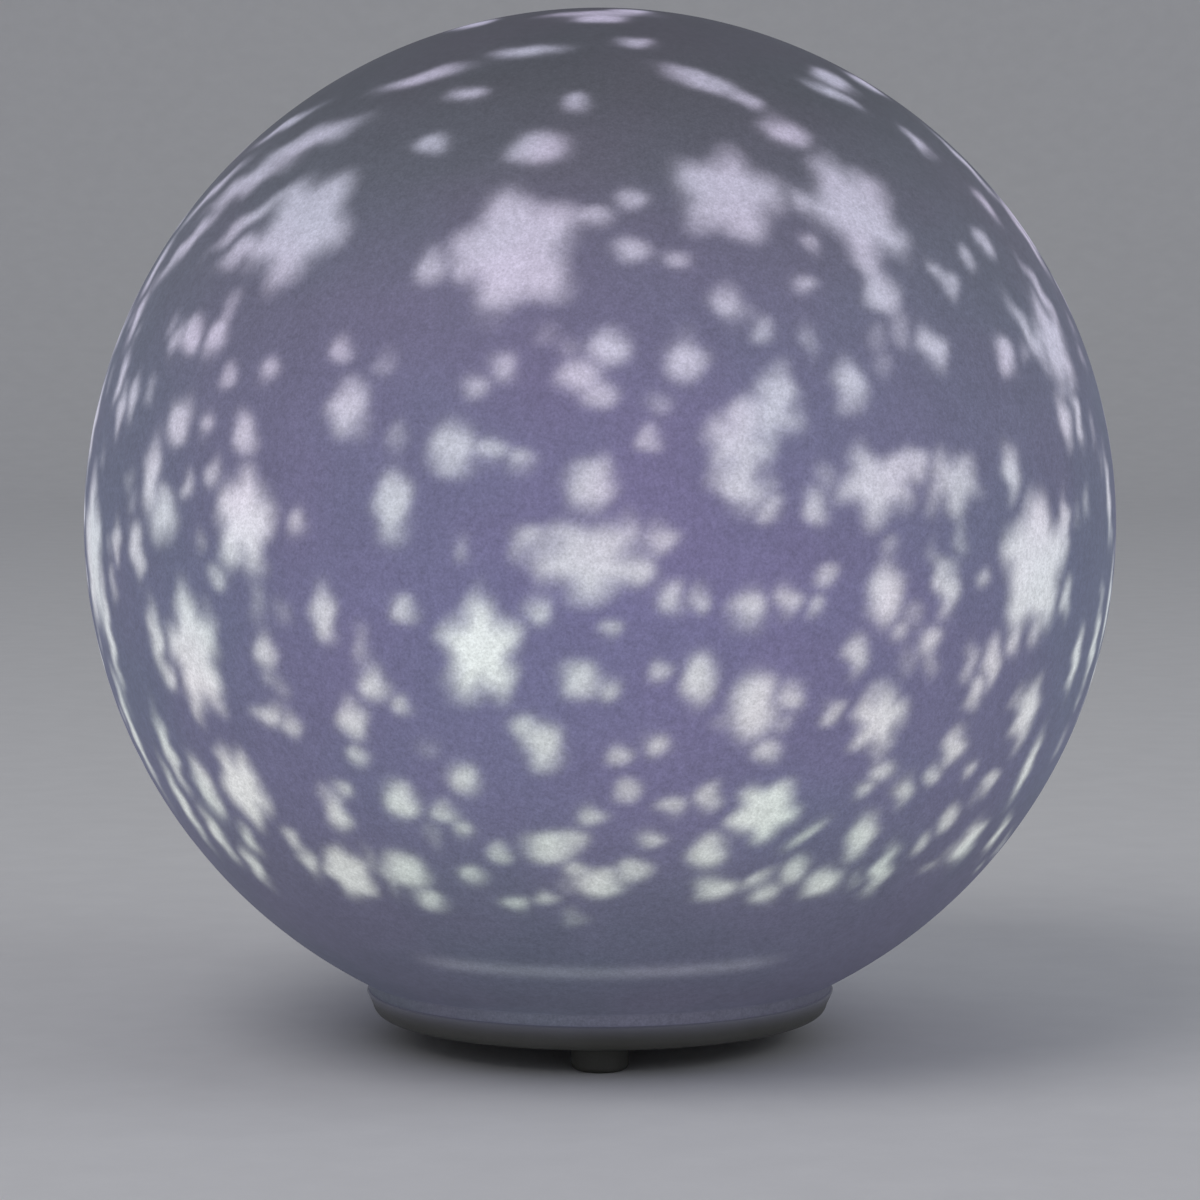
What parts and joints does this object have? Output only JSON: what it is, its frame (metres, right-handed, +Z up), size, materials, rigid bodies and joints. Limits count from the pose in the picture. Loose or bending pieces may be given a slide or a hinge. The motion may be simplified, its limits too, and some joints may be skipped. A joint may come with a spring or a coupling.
{
  "type": "star projector globe lamp",
  "caption": "Frosted ball lamp on a low round base, with a motor-turned star mask over a light inside, battery box, switch and feet.",
  "frame": {"origin": "on the floor under the middle of the lamp, where the feet stand", "axes": "+Z up along the lamp's axis, -Y towards the front foot, +X to the right seen from the front"},
  "size_m": [0.2, 0.2, 0.2006],
  "materials": {
    "frosted_globe": "frosted opal, lit from inside",
    "white_shell": "satin moulded",
    "white_feet": "matt soft",
    "screws": "zinc plated",
    "springs": "nickel plated",
    "contacts": "nickel plated",
    "shafts": "ground",
    "motor_steel": "satin plated",
    "black_plastic": "fine texture",
    "mask_plastic": "matt, opaque",
    "grey_plastic": "satin",
    "blue_plastic": "satin",
    "nylon": "natural, slightly waxy",
    "brass": "machined",
    "aluminium": "satin",
    "cells": "printed sleeve, plain",
    "led_white": "white package",
    "led_lens": "clear silicone dome",
    "circuit_board": "solder mask",
    "red_wire": "wire sleeve",
    "black_wire": "wire sleeve"
  },
  "bodies": {
    "base": {"base_tray": "white_shell", "foot_front": "white_feet", "foot_right": "white_feet", "foot_left": "white_feet", "housing_screw_right": "screws", "housing_screw_left": "screws", "housing_screw_rear": "screws", "battery_box": "black_plastic", "cell_left": "cells", "cell_middle": "cells", "cell_right": "cells", "spring_left": "springs", "spring_middle": "springs", "spring_right": "springs", "contact_bridge_front": "contacts", "contact_bridge_rear": "contacts", "contact_minus": "contacts", "contact_plus": "contacts", "tower_housing": "white_shell", "motor_can": "motor_steel", "motor_wire_cover": "blue_plastic", "motor_screw_right": "screws", "motor_screw_left": "screws", "idler_pin": "shafts", "centre_tube": "aluminium", "hub_washer": "nylon", "hub_clip": "springs", "led_board": "aluminium", "led_package": "led_white", "led_lens": "led_lens", "control_board": "circuit_board", "control_chip": "black_plastic", "capacitor": "black_plastic", "motor_connector": "nylon", "switch_body": "contacts", "led_lead_red": "red_wire", "led_lead_black": "black_wire", "battery_lead_red": "red_wire", "battery_lead_black": "black_wire", "motor_lead": "red_wire"},
    "globe": {"globe": "frosted_globe"},
    "mask": {"drive_gear": "nylon", "mask_tray": "grey_plastic", "star_mask": "mask_plastic"},
    "idler": {"idler_gear": "nylon"},
    "drive_pinion": {"pinion": "brass", "motor_shaft": "shafts"},
    "door": {"battery_door": "white_shell"},
    "knob": {"switch_knob": "black_plastic"}
  },
  "joints": [
    {"name": "globe_lift", "type": "slide", "parent": "base", "child": "globe", "axis": [0, 0, 1], "range_m": [0, 0.09]},
    {"name": "mask_spin", "type": "hinge", "parent": "base", "child": "mask", "pos_m": [0, 0, 0.045], "axis": [0, 0, 1], "continuous": true},
    {"name": "idler_spin", "type": "hinge", "parent": "base", "child": "idler", "pos_m": [0, 0.0241, 0.043], "axis": [0, 0, 1], "continuous": true},
    {"name": "pinion_spin", "type": "hinge", "parent": "base", "child": "drive_pinion", "pos_m": [0.01664, 0.02116, 0.042], "axis": [0, 0, 1], "continuous": true},
    {"name": "door_hinge", "type": "hinge", "parent": "base", "child": "door", "pos_m": [0, -0.026, 0.0059], "axis": [-1, 0, 0], "range_deg": [0, 90]},
    {"name": "switch_slide", "type": "slide", "parent": "base", "child": "knob", "axis": [1, 0, 0], "range_m": [-0.002, 0.002]}
  ],
  "couplings": [
    {"joint": "idler_spin", "follows": "mask_spin", "ratio": -4},
    {"joint": "pinion_spin", "follows": "mask_spin", "ratio": 10}
  ]
}
